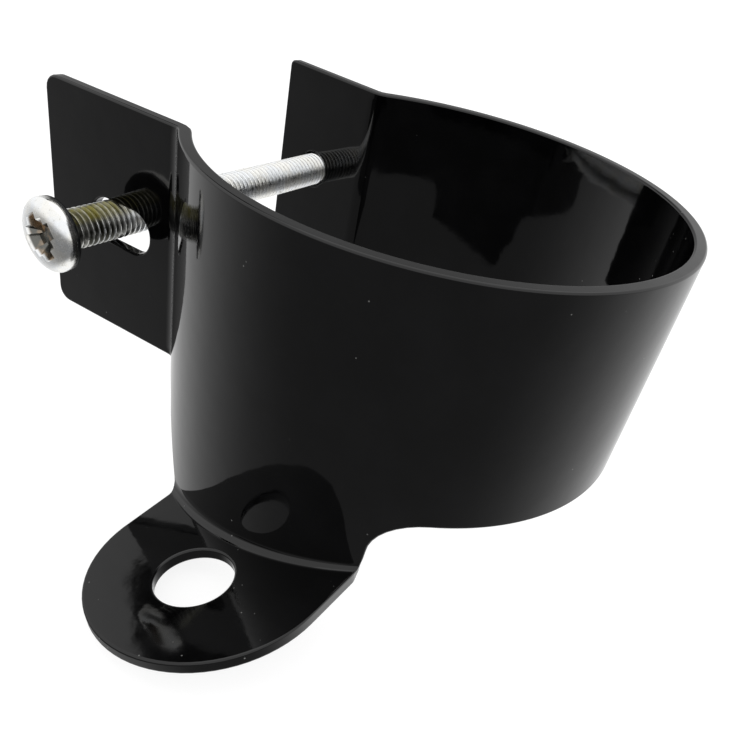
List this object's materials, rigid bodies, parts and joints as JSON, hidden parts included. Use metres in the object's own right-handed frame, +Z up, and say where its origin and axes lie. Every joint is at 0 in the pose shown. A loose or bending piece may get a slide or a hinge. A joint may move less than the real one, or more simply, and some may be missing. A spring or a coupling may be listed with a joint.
{
  "type": "strap clamp bracket",
  "caption": "Open steel strap ring that clamps round a canister: two ears drawn together by a pan-head screw, and a tilted round-ended foot with a hole on a neck below.",
  "frame": {"origin": "on the axis of the ring, at the ring's lower edge", "axes": "+Z up along the ring's axis; the ears point to -X; the screw runs along Y with its head on the -Y side; the foot stands out to -Y"},
  "size_m": [0.0757, 0.0831, 0.0472],
  "materials": {
    "black_coat": "gloss black coat",
    "bright_zinc": "bright zinc plate",
    "dark_washer": "dark oxide",
    "nut_coat": "gloss black coat"
  },
  "bodies": {
    "bracket": {"strap_bracket": "black_coat", "clamp_nut": "nut_coat"},
    "washer": {"screw_washer": "dark_washer"},
    "screw": {"clamp_screw": "bright_zinc"}
  },
  "joints": [
    {"name": "screw_travel", "type": "slide", "parent": "bracket", "child": "washer", "axis": [0, 1, 0], "range_m": [-0.0032, 0.0072]},
    {"name": "screw_spin", "type": "hinge", "parent": "washer", "child": "screw", "pos_m": [-0.0341, 0, 0.015], "axis": [0, 1, 0], "range_deg": [-1444, 3244]}
  ],
  "couplings": [
    {"joint": "screw_spin", "follows": "screw_travel", "rad_per_m": 7854}
  ]
}
